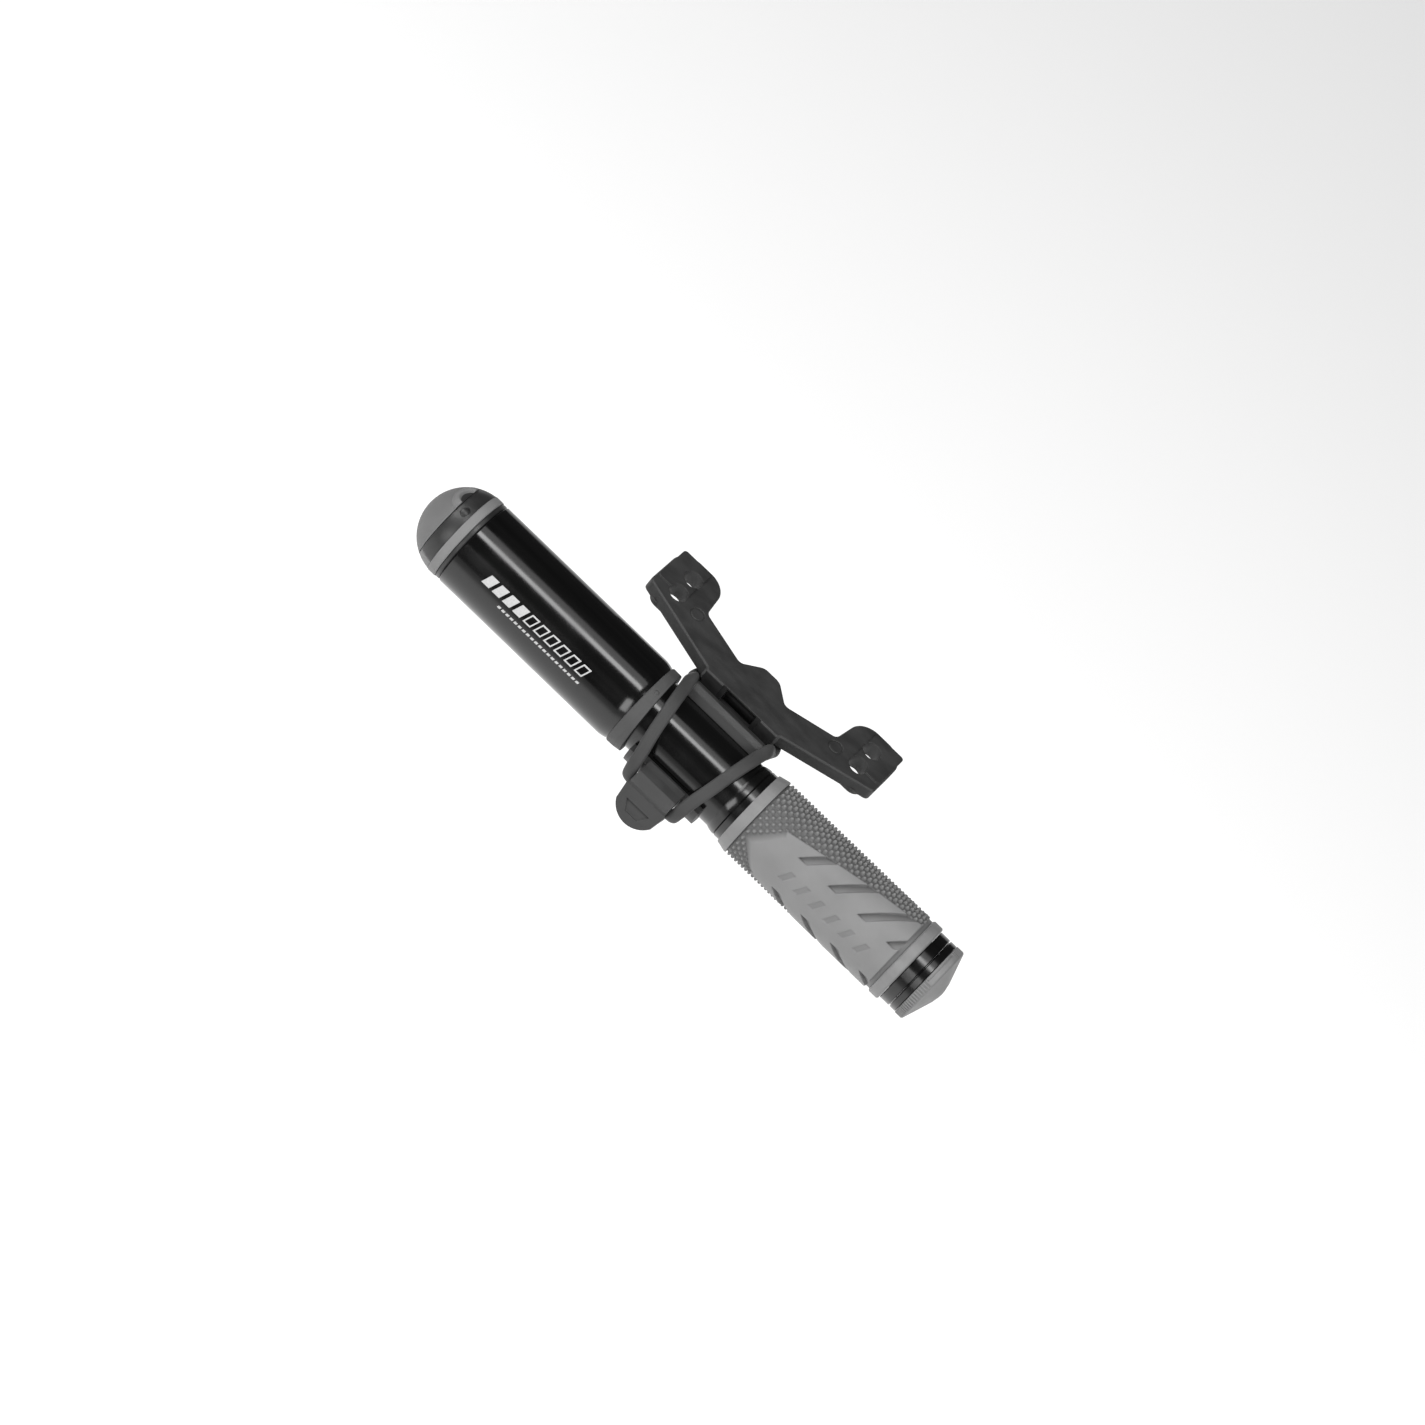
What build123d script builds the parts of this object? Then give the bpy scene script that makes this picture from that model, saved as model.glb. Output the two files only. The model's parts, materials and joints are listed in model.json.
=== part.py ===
from build123d import *
import math
import os

# Mini pump in its frame bracket. Millimetres, +X along the pump from dust cap to end cap,
# +Z out of the frame tube along the bottle bosses, -Y to the side where the pump hangs.
# The origin is midway between the two boss holes, on the bracket's mounting face.

# Where the pump's long axis lies
PUMP_Y = -34.5
PUMP_Z = -7.6
# Directions round the pump are angles from -Y towards +Z
FACE_ANGLE = 43

# Barrel and head, places along X
DOME_CENTRE = -80.3
DOME_RADIUS = 12.7
CAP_EDGE = -85.8
BAND_END = -81.7
RING_END = -79.1
BARREL_LEFT = -77.8
BARREL_RIGHT = -18.6
COLLAR_RIGHT = -14.9
COLLAR_SLANT = 3.9
WIPER_X = -17.2
BARREL_RADIUS = 12.7
BARREL_BORE = 11.7
PARTING = 0.1

# Neck and handle
NECK_RADIUS = 10.4
CYLINDER_BORE = 9.5
NECK_LEFT = -62.2
SHOULDER = 15.3
SLEEVE_RADIUS = 11.0
SLEEVE_BORE = 10.45
GRIP_LEFT = 23.2
GRIP_RIGHT = 73.6
GRIP_RADIUS = 12.2
SLEEVE_RIGHT = 76.9
RING_RADIUS = 11.35
CAP_LEFT = 82.3
CAP_RADIUS = 11.5
CAP_TIP = 88.0

# Rod, piston and valve
ROD_RADIUS = 3.95
ROD_HOLE = 1.6
ROD_LEFT = -72.6
PISTON_LEFT = 59.6
PISTON_RIGHT = 67.6
PISTON_RADIUS = 9.3
RUNNING = 0.05

# Screw chuck under the dust cap
CHUCK_TIP = -88.6
VALVE_BORE = 3.9
CHUCK_BORE_END = -82.0
CHUCK_RADIUS = 6.8
CHUCK_NOSE_RADIUS = 5.7
STEM_RADIUS = 3.0
CUP_RADIUS = 9.0
CUP_FLOOR = -77.2
SKIRT_RADIUS = 8.55
SKIRT_END = -84.4

# Dust cap: its tether, and the finger notch opposite
TETHER_ANGLE = -61
TETHER_HALF_WIDTH = 44
TETHER_THICKNESS = 1.1
NOTCH_ANGLE = 87.5
NOTCH_WIDTH = 5.6
NOTCH_DEPTH = 1.8

# Clip that holds the neck
CLIP_HALF_LENGTH = 12.0
CLIP_BORE = 10.45
CLIP_RADIUS = 12.9
UPPER_LIP = 72
LOWER_LIP = -50

# Bracket plate
BOSS_SPACING = 64.0
BOSS_HOLE_RADIUS = 2.75
SPARE_HOLE_Y = -7.2
PLATE_THICKNESS = 4.3
BOSS_PAD = 0.6
LEG_END = 39.6
BRIDGE_FRONT = -20.6
BRIDGE_BACK = -18.2
BRIDGE_HALF_LENGTH = 11.8
BRIDGE_BOTTOM = -7.0
WINDOW_HALF_LENGTH = 5.1
WINDOW_SILL = -1.5

# Elastic strap
STRAP_RADIUS = 1.25
STRAP_RUN_Y = -16.5
STRAP_RUN_Z = -1.7

EDGE = 0.4


def turned(*corners):
    """A ring or disc turned about the pump's axis, from the (x, radius) corners of its half section."""
    return revolve(make_face(Polyline(*corners, close=True)), Axis.X)


def ring(left, right, outer, bore, edge=0.0):
    """A plain ring, with its outer corners cut off by edge."""
    if not edge:
        return turned((left, bore), (left, outer), (right, outer), (right, bore))
    return turned(
        (left, bore),
        (left, outer - edge),
        (left + edge, outer),
        (right - edge, outer),
        (right, outer - edge),
        (right, bore),
    )


def disc(left, right, outer):
    return ring(left, right, outer, 0)


def o_ring(x, centre_radius, thickness):
    """A rubber ring of round section about the pump's axis."""
    return Pos(x, 0, 0) * Rot(0, 90, 0) * Torus(centre_radius, thickness)


def around(angle, shape):
    """Turns a shape built on the -Y side round the pump's axis, towards +Z for a positive angle."""
    return Rot(-angle, 0, 0) * shape


def wedge(left, right, half_angle, reach=30):
    """A sector of the space round the axis, centred on -Y, between two places along X."""
    half = reach * math.tan(math.radians(half_angle))
    outline = make_face(Polyline((0, 0), (-reach, -half), (-reach, half), close=True))
    return extrude(Plane.YZ.offset(left) * outline, right - left)


def on_pump(shape):
    """Moves a shape built about the X axis to the pump's place."""
    return Pos(0, PUMP_Y, PUMP_Z) * shape


def write(name, shape, ready=False):
    placed = shape if ready else on_pump(shape)
    export_step(placed, os.path.join("parts", name + ".step"))


def half_ball(radius, left, right):
    """The slice of the head's ball between two places along X."""
    return Pos(DOME_CENTRE, 0, 0) * Sphere(radius) & disc(left, right, 20)


# Barrel side


def barrel_tube():
    """The barrel, its mouth drawn in on a soft curve."""
    mouth = (BARREL_RIGHT, BARREL_RADIUS - 0.6)
    curve_start = (BARREL_RIGHT - 3.2, BARREL_RADIUS)
    outline = Polyline(
        mouth,
        (BARREL_RIGHT, BARREL_BORE),
        (BARREL_LEFT, BARREL_BORE),
        (BARREL_LEFT, BARREL_RADIUS - EDGE),
        (BARREL_LEFT + EDGE, BARREL_RADIUS),
        curve_start,
    )
    outline += ThreePointArc(curve_start, (BARREL_RIGHT - 1.6, BARREL_RADIUS - 0.145), mouth)
    return revolve(make_face(outline), Axis.X)


def barrel_collar():
    """The guide at the barrel's mouth: a slant-faced flange outside, a sleeve inside with a wiper groove."""
    bore = NECK_RADIUS + RUNNING
    sleeve = BARREL_BORE - RUNNING
    flange = turned(
        (BARREL_RIGHT, bore),
        (BARREL_RIGHT, 12.3),
        (BARREL_RIGHT + 0.3, 12.5),
        (BARREL_RIGHT + 2.4, 12.45),
        (COLLAR_RIGHT + 1.2, 12.1),
        (COLLAR_RIGHT + 1.2, bore),
    )
    slant = Pos(COLLAR_RIGHT, 0, 0) * Rot(0, -COLLAR_SLANT, 0) * Pos(10, 0, 0) * Box(20, 40, 40)
    flange -= around(FACE_ANGLE, slant)
    body = flange + ring(BARREL_RIGHT - 2.3, BARREL_RIGHT, sleeve, bore)
    groove = ring(WIPER_X - 0.6, WIPER_X + 0.6, 11.15, bore - 1)
    bump = around(67, Pos(-16.7, -12.0, 0) * Sphere(0.85))
    dimple = around(10, Pos(-16.9, -12.6, 0) * Sphere(0.4))
    return body - groove - dimple + bump


def head_housing():
    """The plastic head: a band of the head's ball, the dust cap's cup, and the barrel's end plug."""
    face = CAP_EDGE + PARTING
    band = half_ball(DOME_RADIUS, face, BAND_END)
    seat = disc(BAND_END, BARREL_LEFT, 11.3)
    plug = disc(BARREL_LEFT, -70.0, BARREL_BORE - RUNNING)
    body = band + seat + plug
    body -= disc(face - 1, CUP_FLOOR, CUP_RADIUS)
    body -= turned((face - 1, 0), (face - 1, CUP_RADIUS + 2), (face + 1, CUP_RADIUS), (face + 1, 0))
    body -= disc(CUP_FLOOR, -73.0, STEM_RADIUS + RUNNING)
    body -= disc(-73.0, -69.0, ROD_RADIUS + RUNNING)
    recess = half_ball(14, face - 1, BAND_END + 0.01) - half_ball(DOME_RADIUS - TETHER_THICKNESS, -95, -70)
    body -= around(TETHER_ANGLE, recess & wedge(-90, -75, TETHER_HALF_WIDTH + 1.5))
    button = Pos(0, -10.25, 0) * Sphere(2.5) & Pos(0, -12, 0) * Rot(90, 0, 0) * Cylinder(1.3, 3)
    return body + around(64, Pos(-83.4, 0, 0) * button)


def notch():
    """The half-oval space of the finger notch in the dust cap's rim."""
    oval = Plane.XZ.offset(10.3) * Ellipse(NOTCH_DEPTH, NOTCH_WIDTH / 2)
    return around(NOTCH_ANGLE, Pos(CAP_EDGE, 0, 0) * extrude(oval, 4))


def tether():
    """The rubber bridge from the ring to the dust cap, which is its hinge."""
    inner = DOME_RADIUS - TETHER_THICKNESS + RUNNING
    shell = half_ball(DOME_RADIUS, CAP_EDGE + PARTING, BAND_END) - Pos(DOME_CENTRE, 0, 0) * Sphere(inner)
    return around(TETHER_ANGLE, shell & wedge(-90, -75, TETHER_HALF_WIDTH))


def dust_cap_dome():
    edge = CAP_EDGE - PARTING
    shell = half_ball(DOME_RADIUS, -95, edge) - Pos(DOME_CENTRE, 0, 0) * Sphere(DOME_RADIUS - 1.5)
    skirt = ring(-90, SKIRT_END, SKIRT_RADIUS, SKIRT_RADIUS - 1.2)
    skirt &= half_ball(DOME_RADIUS - 1, -95, SKIRT_END)
    return shell + skirt - notch()


def chuck_body():
    """The fixed stem of the chuck: its head holds the screw collar, and its bore leads to the rod."""
    stem = disc(-80.4, ROD_LEFT - 0.1, STEM_RADIUS)
    return disc(-80.6, -79.5, 4.5) + stem - disc(-81, -72, 1.2)


def chuck_gasket():
    return ring(-81.8, -80.6, 4.5, 1.8)


def chuck_collar():
    """The screw collar that grips a tyre valve, finely fluted outside."""
    body = turned(
        (CHUCK_TIP, VALVE_BORE),
        (CHUCK_TIP, CHUCK_NOSE_RADIUS - EDGE),
        (CHUCK_TIP + EDGE, CHUCK_NOSE_RADIUS),
        (-84.2, CHUCK_NOSE_RADIUS),
        (-83.8, CHUCK_RADIUS),
        (-78.0, CHUCK_RADIUS),
        (-77.6, CHUCK_RADIUS - EDGE),
        (-77.6, STEM_RADIUS + RUNNING),
        (-79.3, STEM_RADIUS + RUNNING),
        (-79.3, 4.6),
        (CHUCK_BORE_END, 4.6),
        (CHUCK_BORE_END, VALVE_BORE),
    )
    flute = Pos(-80.9, -CHUCK_RADIUS - 0.25, 0) * Rot(0, 90, 0) * Cylinder(0.6, 8)
    for turn in range(20):
        body -= around(turn * 18, flute)
    return body


def rod_nut():
    nut = extrude(Plane.YZ.offset(-69.9) * RegularPolygon(7.2, 6), 3.0)
    return nut - disc(-71, -66, ROD_RADIUS + 0.02)


def piston_rod():
    return ring(ROD_LEFT, PISTON_RIGHT - 2.6, ROD_RADIUS, ROD_HOLE)


def piston():
    body = disc(PISTON_LEFT, PISTON_RIGHT, PISTON_RADIUS)
    body -= disc(PISTON_LEFT, PISTON_RIGHT - 2.6, ROD_RADIUS + 0.02)
    body -= disc(PISTON_LEFT, PISTON_RIGHT, 1.7)
    return body - ring(62.6, 64.6, 12, 8.0)


def check_valve():
    """A rubber mushroom seated over the piston's hole: a thin head and a short stalk."""
    seat = PISTON_RIGHT + 0.02
    return disc(seat, PISTON_RIGHT + 0.5, 3.2) + disc(PISTON_RIGHT - 1.6, seat, 1.0)


# Cylinder side, which the clip holds


def rod_guide():
    """The bush at the neck tube's inner end: a flange in the barrel, a spigot in the tube."""
    flange = disc(-65.0, NECK_LEFT, BARREL_BORE - RUNNING)
    spigot = disc(NECK_LEFT, -56.0, CYLINDER_BORE - 0.02)
    vents = disc(-66, -55, ROD_RADIUS + RUNNING)
    for turn in range(6):
        vents += around(turn * 60, Pos(-60, -6.8, 0) * Rot(0, 90, 0) * Cylinder(0.9, 14))
    return flange + spigot - vents


def handle_sleeve():
    """The gloss sleeve over the neck's end: a flared shoulder, a fine groove, then the grip's core."""
    lip = (SHOULDER, SLEEVE_BORE + 0.05)
    top = (SHOULDER + 2.4, SLEEVE_RADIUS)
    outline = ThreePointArc(lip, (SHOULDER + 1.1, SLEEVE_BORE + 0.4), top)
    outline += Polyline(
        top,
        (SHOULDER + 2.6, SLEEVE_RADIUS - 0.25),
        (SHOULDER + 2.8, SLEEVE_RADIUS),
        (SLEEVE_RIGHT, SLEEVE_RADIUS),
        (SLEEVE_RIGHT, SLEEVE_BORE),
        (SHOULDER, SLEEVE_BORE),
        lip,
    )
    return revolve(make_face(outline), Axis.X)


def grip_front_collar():
    bore = SLEEVE_RADIUS + 0.02
    return turned(
        (GRIP_LEFT - 3.3, bore),
        (GRIP_LEFT - 3.3, 11.45),
        (GRIP_LEFT - 0.4, 12.15),
        (GRIP_LEFT, 12.1),
        (GRIP_LEFT, bore),
    )


def rubber_grip():
    """The rubber sleeve, with a shallow groove at each end."""
    bore = SLEEVE_RADIUS + 0.02
    return turned(
        (GRIP_LEFT + 0.02, bore),
        (GRIP_LEFT + 0.02, GRIP_RADIUS - 0.6),
        (GRIP_LEFT + 0.7, GRIP_RADIUS - 0.6),
        (GRIP_LEFT + 0.9, GRIP_RADIUS),
        (GRIP_RIGHT - 1.4, GRIP_RADIUS),
        (GRIP_RIGHT - 1.2, GRIP_RADIUS - 0.5),
        (GRIP_RIGHT - 0.02, GRIP_RADIUS - 0.5),
        (GRIP_RIGHT - 0.02, bore),
    )


def grip_end_collar():
    return ring(GRIP_RIGHT, SLEEVE_RIGHT, GRIP_RADIUS, SLEEVE_RADIUS + 0.02, EDGE)


def cylinder_plug():
    """The plug that closes the neck tube, with a groove for its O-ring and a spigot for the end cap."""
    body = disc(68.6, 76.9, CYLINDER_BORE - 0.02) + disc(76.9, 80.1, 7.9)
    body -= ring(71.0, 73.0, 12, 8.0)
    return body - disc(75.0, 81, 5.0)


def end_cap():
    """The shallow coned cap: smooth rim, a thumb pad of ribs on two sides, and a spigot inside."""
    body = turned(
        (CAP_LEFT + 0.05, 0),
        (CAP_LEFT + 0.05, CAP_RADIUS - 0.15),
        (CAP_LEFT + 0.2, CAP_RADIUS),
        (CAP_LEFT + 2.2, CAP_RADIUS),
        (CAP_LEFT + 2.6, CAP_RADIUS - 0.35),
        (CAP_TIP - 0.5, 3.2),
        (CAP_TIP - 0.1, 1.2),
        (CAP_TIP, 0),
    )
    rim_step = ring(CAP_LEFT + 0.05, CAP_LEFT + 0.9, 14, CAP_RADIUS - 0.35)
    body -= rim_step - around(-20, wedge(80, 88, 64)) - around(160, wedge(80, 88, 64))
    rib_gap = Pos(CAP_LEFT + 1.3, -CAP_RADIUS - 0.12, 0) * Box(3.2, 0.7, 0.42)
    for side in (-20, 160):
        for step in range(-14, 15):
            body -= around(side + step * 4.3, rib_gap)
    return body + disc(77.0, CAP_LEFT + 0.05, 4.9)


# Clip, in a frame with x along the pump, y up the face and z towards the open front


def face_plane(x=0.0):
    """The pump's section plane at x: its first axis runs up the face, its second out of the front."""
    tilt = math.radians(FACE_ANGLE)
    up = (0, math.sin(tilt), math.cos(tilt))
    return Plane(origin=(x, PUMP_Y, PUMP_Z), x_dir=up, z_dir=(1, 0, 0))


def face_point(angle, radius):
    """A point of the section, from its angle up from the front and its distance from the axis."""
    return (radius * math.sin(math.radians(angle)), radius * math.cos(math.radians(angle)))


def section_bar(half_length, *corners):
    """A bar along the pump from a section outline given as (up, front) corners."""
    return extrude(face_plane(-half_length) * make_face(Polyline(*corners, close=True)), 2 * half_length)


def clip_ring():
    """The sprung C of the clip, open at the front between its two lips."""
    full = extrude(face_plane(-CLIP_HALF_LENGTH) * Circle(CLIP_RADIUS), 2 * CLIP_HALF_LENGTH)
    full -= extrude(face_plane(-20) * Circle(CLIP_BORE), 40)
    mouth = section_bar(20, (0, 0), face_point(LOWER_LIP, 40), face_point(0, 50), face_point(UPPER_LIP, 40))
    return full - mouth


def tongue():
    """The hook block and the finger tongue below the lower lip, with the strap's notch behind."""
    profile = section_bar(
        CLIP_HALF_LENGTH,
        (-8.3, 7.6),
        (-10.0, 8.6),
        (-12.0, 10.0),
        (-15.5, 11.0),
        (-16.2, 10.5),
        (-24.6, 9.4),
        (-24.6, 7.0),
        (-18.6, 6.4),
        (-17.4, 5.0),
        (-16.7, 5.2),
        (-16.4, 6.7),
        (-13.4, 6.9),
        (-11.2, 5.6),
    )
    tilt = math.radians(FACE_ANGLE)
    front = (0, -math.cos(tilt), math.sin(tilt))
    face = Plane(origin=(0, PUMP_Y, PUMP_Z), x_dir=(1, 0, 0), z_dir=front)
    right = [(6.3, -8), (6.3, -15.8), (6.7, -16.3), (5.9, -21.0)]
    left = [(-x, y) for x, y in reversed(right)]
    tip = ThreePointArc(right[-1], (0, -24.4), left[0])
    outline = make_face(Polyline(*left, *right) + tip)
    blade = profile & extrude(face * outline, 20)
    dish = make_face(Polyline((-3.8, -19.2), (3.8, -19.2), (1.9, -21.9), (-1.9, -21.9), close=True))
    return blade - extrude(face.offset(9.55) * dish, 5)


def pump_clip():
    """The clip: ring, top rail, boss against the bridge, and the hook with its tongue."""
    rail = section_bar(BRIDGE_HALF_LENGTH, (11.0, 0.0), (14.3, 0.4), (14.7, 1.7), (14.1, 3.4), (11.7, 4.1))
    rail = fillet(rail.edges().filter_by(Axis.X).filter_by(lambda edge: edge.center().Z > -2), 0.6)
    boss = Pos(0, BRIDGE_FRONT - 3.0, (WINDOW_SILL + BRIDGE_BOTTOM) / 2) * Box(
        2 * BRIDGE_HALF_LENGTH, 6.0, WINDOW_SILL - BRIDGE_BOTTOM
    )
    bore = extrude(face_plane(-20) * Circle(CLIP_BORE), 40)
    return clip_ring() + rail + boss + tongue() - bore


def rounded(shape, radius, picked):
    """The shape with its upright edges rounded where picked says so of their middle point."""
    upright = shape.edges().filter_by(Axis.Z)
    return fillet([edge for edge in upright if picked(edge.center())], radius)


def bracket_plate():
    """The plate on the bottle bosses: two legs, a peaked middle, and the bridge down to the clip."""
    reach = BOSS_SPACING / 2
    right = [
        (2.7, -4.7),
        (8.0, -9.8),
        (23.0, -4.9),
        (24.6, 7.2),
        (LEG_END, 7.2),
        (LEG_END, -10.4),
        (13.0, -19.6),
        (12.3, BRIDGE_FRONT),
    ]
    left = [(-x, y) for x, y in reversed(right)]
    outline = make_face(Polyline(*right, *left, close=True))
    plate = Pos(0, 0, BOSS_PAD) * extrude(outline, PLATE_THICKNESS - BOSS_PAD)
    plate = rounded(plate, 6.0, lambda at: at.Y > 0)
    plate = rounded(plate, 1.6, lambda at: abs(at.X) > LEG_END - 1 and at.Y < 0)
    plate = rounded(plate, 2.0, lambda at: 7 < abs(at.X) < 24 and -11 < at.Y < -4)
    plate = rounded(plate, 3.0, lambda at: abs(at.X) < 3 and at.Y > -6)
    plate = chamfer(plate.edges().group_by(Axis.Z)[-1], EDGE)
    height = PLATE_THICKNESS - BRIDGE_BOTTOM
    bridge = Pos(0, (BRIDGE_FRONT + BRIDGE_BACK) / 2, BRIDGE_BOTTOM + height / 2) * Box(
        2 * BRIDGE_HALF_LENGTH, BRIDGE_BACK - BRIDGE_FRONT, height
    )
    bridge = chamfer(bridge.edges().filter_by(Axis.X).group_by(Axis.Z)[-1], EDGE)
    window = Pos(0, BRIDGE_FRONT, WINDOW_SILL + 2.6) * Box(2 * WINDOW_HALF_LENGTH, 8, 5.2)
    sunk = Pos(0, BRIDGE_FRONT, (WINDOW_SILL + BRIDGE_BOTTOM) / 2 + 2.6) * Box(13.2, 0.9, 12)
    body = plate + bridge - window - sunk
    for side in (-1, 1):
        top_pad = Pos(side * 34.4, -0.6, PLATE_THICKNESS) * Box(9.6, 13.6, 0.8)
        body += rounded(top_pad, 1.0, lambda at: True)
        foot = Pos(side * reach, -3.6, BOSS_PAD) * Box(10.4, 17.6, 2 * BOSS_PAD)
        body += rounded(foot, 3.0, lambda at: True)
        for y in (0, SPARE_HOLE_Y):
            body -= Pos(side * reach, y, PLATE_THICKNESS / 2) * Cylinder(BOSS_HOLE_RADIUS, 12)
        mark = Pos(side * 24.6, -8.0, PLATE_THICKNESS)
        body -= mark * (Cylinder(2.2, 0.3) - Cylinder(1.8, 1))
    return body


def strap_corners():
    """One half of the strap's loop: behind the bridge, round its end, over the neck, behind the tongue."""
    plane = face_plane()

    def at(x, angle, radius):
        up, front = face_point(angle, radius)
        point = plane.from_local_coords((up, front, 0))
        return (x, point.Y, point.Z)

    return [
        (0, STRAP_RUN_Y, STRAP_RUN_Z),
        (13.6, STRAP_RUN_Y, STRAP_RUN_Z),
        (14.0, -22.2, -1.9),
        at(13.6, 84, 14.0),
        at(12.7, 55, 12.9),
        at(11.6, 20, 12.4),
        at(10.2, -15, 12.6),
        at(8.7, -44, 14.4),
        at(8.0, -62, 16.4),
        at(7.2, -71.5, 16.0),
        at(0, -71.5, 16.0),
    ]


def elastic_strap():
    """The closed rubber loop, as straight runs and tangent arcs, mirrored from one half."""
    corners = strap_corners()
    radii = []
    for before, corner, after in zip(corners, corners[1:], corners[2:]):
        into = Vector(*corner) - Vector(*before)
        out = Vector(*after) - Vector(*corner)
        turn = math.radians(into.get_angle(out))
        radii.append(0.42 * min(into.length, out.length) / math.tan(turn / 2))
    path = FilletPolyline(*corners, radius=radii)
    section = Plane(origin=corners[0], z_dir=(1, 0, 0)) * Circle(STRAP_RADIUS)
    half = sweep(section, path)
    return half + mirror(half, about=Plane.YZ)


os.makedirs("parts", exist_ok=True)

write("barrel_tube", barrel_tube())
write("barrel_collar", barrel_collar())
write("collar_wiper_ring", o_ring(WIPER_X, NECK_RADIUS + RUNNING + 0.3, 0.3))
write("head_housing", head_housing())
write("head_lock_ring", ring(RING_END, BARREL_LEFT, 12.55, 11.35, 0.25))
write("dust_cap_ring", ring(BAND_END, RING_END, 12.75, 11.35, 0.2))
write("dust_cap_tether", tether())
write("dust_cap_dome", dust_cap_dome())
write("chuck_body", chuck_body())
write("chuck_gasket", chuck_gasket())
write("chuck_collar", chuck_collar())
write("rod_nut", rod_nut())
write("rod_bumper", ring(-66.8, -65.3, 7.0, ROD_RADIUS + 0.02))
write("piston_rod", piston_rod())
write("piston", piston())
write("piston_o_ring", o_ring(63.6, 8.75, 0.7))
write("check_valve", check_valve())

write("cylinder_tube", ring(NECK_LEFT, SLEEVE_RIGHT, NECK_RADIUS, CYLINDER_BORE))
write("rod_guide", rod_guide())
write("handle_sleeve", handle_sleeve())
write("grip_front_collar", grip_front_collar())
write("rubber_grip", rubber_grip())
write("grip_end_collar", grip_end_collar())
write("cylinder_plug", cylinder_plug())
write("plug_o_ring", o_ring(72.0, 8.75, 0.7))
write("end_ring_inner", ring(SLEEVE_RIGHT + 0.05, 80.1, RING_RADIUS, 7.95, 0.2))
write("end_ring_outer", ring(80.3, CAP_LEFT, RING_RADIUS, 4.95, 0.2) + ring(80.15, 80.3, 10.8, 4.95))
write("end_cap", end_cap())

write("pump_clip", pump_clip(), ready=True)
write("bracket_plate", bracket_plate(), ready=True)
write("elastic_strap", elastic_strap(), ready=True)
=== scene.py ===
import json
import math

import bpy
import numpy as np
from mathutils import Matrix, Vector


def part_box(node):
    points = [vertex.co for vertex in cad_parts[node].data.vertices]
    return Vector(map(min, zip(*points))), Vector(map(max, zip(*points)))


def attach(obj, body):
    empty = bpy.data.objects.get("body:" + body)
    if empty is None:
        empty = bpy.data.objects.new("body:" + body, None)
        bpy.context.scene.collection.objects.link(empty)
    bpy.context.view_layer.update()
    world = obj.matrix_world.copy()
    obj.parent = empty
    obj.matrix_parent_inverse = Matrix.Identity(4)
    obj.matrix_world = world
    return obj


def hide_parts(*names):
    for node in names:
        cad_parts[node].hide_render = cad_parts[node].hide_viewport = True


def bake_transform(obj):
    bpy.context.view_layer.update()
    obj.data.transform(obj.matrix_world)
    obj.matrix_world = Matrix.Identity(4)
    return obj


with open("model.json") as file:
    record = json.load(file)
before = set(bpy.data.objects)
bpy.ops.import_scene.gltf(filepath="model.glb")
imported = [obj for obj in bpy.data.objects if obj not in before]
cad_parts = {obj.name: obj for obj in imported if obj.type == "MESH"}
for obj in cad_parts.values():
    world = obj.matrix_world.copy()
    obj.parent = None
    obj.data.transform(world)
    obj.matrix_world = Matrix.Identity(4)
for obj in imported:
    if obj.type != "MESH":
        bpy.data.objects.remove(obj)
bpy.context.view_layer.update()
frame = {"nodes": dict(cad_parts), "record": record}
MM = 0.001

# The pump's long axis, from the neck tube's box
neck_low, neck_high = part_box("cylinder_tube")
AXIS_Y = (neck_low[1] + neck_high[1]) / 2
AXIS_Z = (neck_low[2] + neck_high[2]) / 2
# Angles round the pump go from -Y towards +Z; the camera looks at this one
FACE_ANGLE = 43.0


# ---------------------------------------------------------------- mesh helpers


def make_mesh(name, points, faces):
    """A smooth-shaded mesh object from points in millimetres and faces."""
    mesh = bpy.data.meshes.new(name)
    places = np.asarray(points, float) * MM
    mesh.from_pydata([tuple(p) for p in places], [], [tuple(f) for f in faces])
    mesh.validate()
    mesh.polygons.foreach_set("use_smooth", [True] * len(mesh.polygons))
    mesh.update()
    obj = bpy.data.objects.new(name, mesh)
    bpy.context.scene.collection.objects.link(obj)
    return obj


def grid_faces(rows, columns, wrap_rows=False, wrap_columns=False):
    """Quads of a grid of rows by columns, closed on itself where asked."""
    faces = []
    for i in range(rows if wrap_rows else rows - 1):
        for j in range(columns if wrap_columns else columns - 1):
            a, b = (i + 1) % rows, (j + 1) % columns
            faces.append((i * columns + j, i * columns + b, a * columns + b, a * columns + j))
    return faces


def on_axis(x, angle, radius):
    """Points in millimetres, from places along the pump, angles in degrees and radii."""
    angle = np.radians(angle)
    y = AXIS_Y / MM - radius * np.cos(angle)
    z = AXIS_Z / MM + radius * np.sin(angle)
    return np.stack(np.broadcast_arrays(x, y, z), -1).reshape(-1, 3)


def smoothstep(value, low, high):
    """0 up to low, 1 from high, and a smooth rise between."""
    t = np.clip((value - low) / (high - low), 0, 1)
    return t * t * (3 - 2 * t)


# ---------------------------------------------------------------- materials

BEVEL_SAMPLES = 6


def grey(level):
    return (level,) * 3


def shader_of(material):
    return material.node_tree.nodes["Principled BSDF"]


def new_material(name, colour, roughness, metallic=0.0, specular=0.5):
    material = bpy.data.materials.new(name)
    material.use_nodes = True
    shader = shader_of(material)
    shader.inputs["Base Color"].default_value = (*colour, 1)
    shader.inputs["Roughness"].default_value = roughness
    shader.inputs["Metallic"].default_value = metallic
    shader.inputs["Specular IOR Level"].default_value = specular
    return material


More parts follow.
